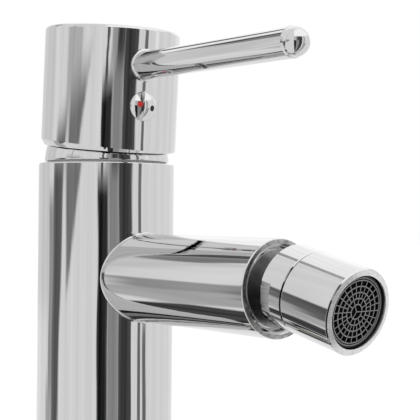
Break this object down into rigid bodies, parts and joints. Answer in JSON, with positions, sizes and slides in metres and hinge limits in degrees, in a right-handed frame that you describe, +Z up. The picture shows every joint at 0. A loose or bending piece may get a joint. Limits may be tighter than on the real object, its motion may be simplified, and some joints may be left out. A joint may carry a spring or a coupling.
{
  "type": "bidet mixer",
  "caption": "Chrome single-lever bidet mixer with a cylindrical column, a pin lever, a straight round spout and a swivelling aerator on a ball joint.",
  "frame": {"origin": "middle of the column's foot, on the deck it stands on", "axes": "+Z up along the column, -Y along the spout towards the user, +X to the right of someone who faces the mixer"},
  "size_m": [0.05, 0.1484, 0.2056],
  "materials": {
    "chrome": "polished chrome plate on brass or zinc",
    "brass": "bare turned brass",
    "steel": "zinc-plated or stainless steel",
    "rubber": "black rubber",
    "white_plastic": "moulded acetal",
    "grey_plastic": "moulded glass-filled plastic",
    "ceramic": "lapped alumina ceramic",
    "black_plastic": "moulded acetal",
    "green_plastic": "moulded acetal",
    "red_enamel": "red enamel fill",
    "blue_enamel": "dark blue enamel fill"
  },
  "bodies": {
    "column": {"body_column": "chrome", "spout_tube": "chrome", "base_gasket": "rubber", "fixing_stud": "steel", "clamp_gasket": "rubber", "clamp_plate": "steel", "clamp_nut": "brass", "cartridge_housing": "white_plastic", "cartridge_base": "grey_plastic", "port_seals": "rubber", "disc_seals": "rubber", "fixed_disc": "ceramic", "cartridge_nut": "brass", "cover_seal": "rubber", "dome_cover": "chrome", "ball_nipple": "chrome", "nipple_washer": "rubber"},
    "sleeve": {"turn_sleeve": "grey_plastic", "pivot_pin": "steel"},
    "handle": {"control_stem": "brass", "handle_cap": "chrome", "lever_rod": "chrome", "grub_screw": "steel", "indicator_plug": "chrome", "hot_dot": "red_enamel", "cold_dot": "blue_enamel"},
    "sliding_disc": {"disc_carrier": "white_plastic", "moving_disc": "ceramic"},
    "rear_seat": {"rear_ball_seat": "white_plastic"},
    "front_seat": {"front_ball_seat": "white_plastic", "ball_seal": "rubber"},
    "aerator": {"swivel_collar": "chrome", "aerator_shell": "chrome", "aerator_washer": "rubber", "aerator_basket": "black_plastic", "flow_regulator": "green_plastic", "aerator_screens": "steel", "aerator_grid": "black_plastic"}
  },
  "joints": [
    {"name": "handle_turn", "type": "hinge", "parent": "column", "child": "sleeve", "pos_m": [0, 0, 0.108], "axis": [0, 0, 1], "range_deg": [-43.4, 56.6]},
    {"name": "handle_tilt", "type": "hinge", "parent": "sleeve", "child": "handle", "pos_m": [0, 0, 0.108], "axis": [-0.9934, 0.1149, 0], "range_deg": [0, 18]},
    {"name": "disc_slide", "type": "slide", "parent": "sleeve", "child": "sliding_disc", "axis": [-0.1149, -0.9934, 0], "range_m": [0, 0.0046]},
    {"name": "aerator_yaw", "type": "hinge", "parent": "column", "child": "rear_seat", "pos_m": [0, -0.09993, 0.0687], "axis": [0, 0, 1], "range_deg": [-16, 16]},
    {"name": "aerator_pitch", "type": "hinge", "parent": "rear_seat", "child": "front_seat", "pos_m": [0, -0.09993, 0.0687], "axis": [1, 0, 0], "range_deg": [-28.8, 3.2]},
    {"name": "aerator_spin", "type": "hinge", "parent": "front_seat", "child": "aerator", "pos_m": [0, -0.09993, 0.0687], "axis": [0, -0.9751, -0.2215], "continuous": true}
  ],
  "couplings": [
    {"joint": "disc_slide", "follows": "handle_tilt", "m_per_rad": 0.014485}
  ]
}
